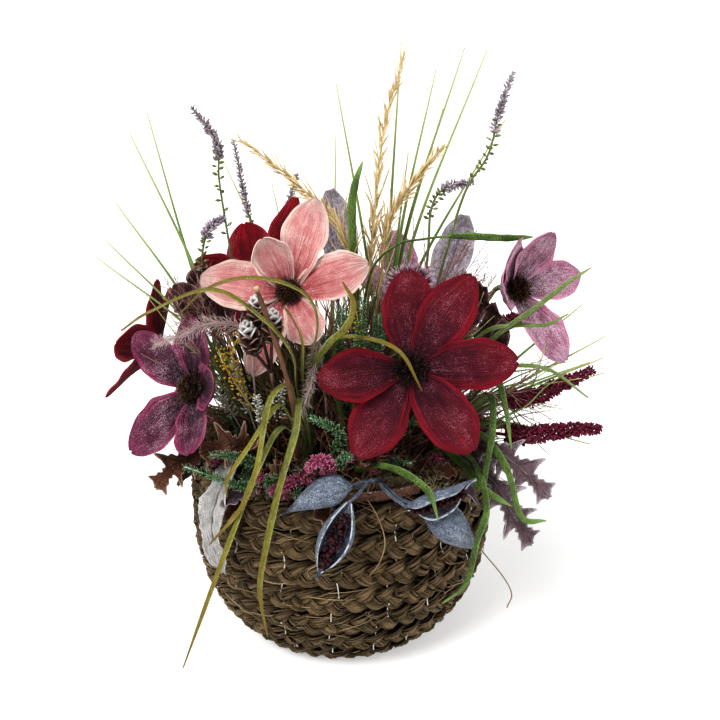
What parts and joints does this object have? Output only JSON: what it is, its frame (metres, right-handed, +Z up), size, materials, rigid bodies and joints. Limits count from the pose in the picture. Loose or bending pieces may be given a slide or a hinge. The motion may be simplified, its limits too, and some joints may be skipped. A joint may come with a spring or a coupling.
{
  "type": "flower basket arrangement",
  "caption": "Artificial flower arrangement in a round braided seagrass basket: blooms, blades, grasses, plumes, pods, cones and leaves in floral foam.",
  "frame": {"origin": "middle of the basket's flat underside", "axes": "+Z up, -Y towards the front of the arrangement, +X to the right seen from the front"},
  "size_m": [0.3967, 0.3473, 0.452],
  "materials": {
    "amaranth": "crinkled florets, matte",
    "bark": "raw bark and twig, matte",
    "seagrass": "dry twisted seagrass braid, matte",
    "strap": "flat blades, slight sheen",
    "strand": "narrow blades, matte",
    "brown_eye": "rough stamens, matte",
    "mauve_petal": "petal, dull",
    "stem": "moulded stem, matte",
    "pink_petal": "petal, dull",
    "purple_petal": "petal, dull",
    "dark_eye": "rough stamens, matte",
    "dark_red_petal": "petal, dull",
    "red_petal": "frosted petal, dull",
    "cone": "pine cone with pale frost, matte",
    "felt_leaf": "fuzzy leaf, matte",
    "foam": "floral foam, matte and porous",
    "grass": "thin grass, slight sheen",
    "hairy": "hairy sprig, matte",
    "heather": "needle sprig, matte",
    "pink_heather": "flowering sprig, matte",
    "lavender": "powdery florets, matte",
    "moss": "dry curly moss, matte",
    "mustard": "beaded sprig, matte",
    "oak_leaf": "cut leaf with pale edges, matte",
    "plume": "dried grass plume, matte",
    "seed": "dark round seeds, slight gloss",
    "pod": "powdery pod, matte",
    "thistle": "moulded needles, matte",
    "velvet_leaf": "velvet leaf, matte"
  },
  "bodies": {
    "root": {"amaranth_back": "amaranth", "amaranth_right": "amaranth", "bark_strip": "bark", "basket": "seagrass", "blade_upright": "strap", "blades_back": "strap", "blades_front": "strand", "blades_front_right": "strand", "blades_high": "strap", "blades_right": "strap", "bloom_mauve_back_eye": "brown_eye", "bloom_mauve_back_petals": "mauve_petal", "bloom_mauve_back_stem": "stem", "bloom_mauve_right_eye": "brown_eye", "bloom_mauve_right_petals": "mauve_petal", "bloom_mauve_right_stem": "stem", "bloom_pink_eye": "brown_eye", "bloom_pink_petals": "pink_petal", "bloom_pink_stem": "stem", "bloom_purple_left_eye": "brown_eye", "bloom_purple_left_petals": "purple_petal", "bloom_purple_left_stem": "stem", "bloom_red_back_eye": "dark_eye", "bloom_red_back_petals": "dark_red_petal", "bloom_red_back_stem": "stem", "bloom_red_front_eye": "dark_eye", "bloom_red_front_petals": "red_petal", "bloom_red_front_stem": "stem", "bloom_red_side_eye": "dark_eye", "bloom_red_side_petals": "dark_red_petal", "bloom_red_side_stem": "stem", "cone_spray": "cone", "cut_twig": "bark", "felt_leaf_left": "felt_leaf", "felt_leaf_right": "felt_leaf", "foam_block": "foam", "grass_back": "grass", "grass_left": "grass", "grass_right": "grass", "grass_tall": "grass", "hairy_sprig": "hairy", "heather_back": "heather", "heather_front": "heather", "heather_left": "heather", "heather_pink": "pink_heather", "lavender_back": "lavender", "lavender_left": "lavender", "lavender_right": "lavender", "moss_collar": "moss", "mustard_sprigs": "mustard", "oak_leaves_back": "oak_leaf", "oak_leaves_left": "oak_leaf", "oak_leaves_right": "oak_leaf", "plume_bunch": "plume", "pod_seeds_left": "seed", "pod_seeds_right": "seed", "pod_spray": "pod", "thistle": "thistle", "velvet_leaf": "velvet_leaf"}
  },
  "joints": []
}
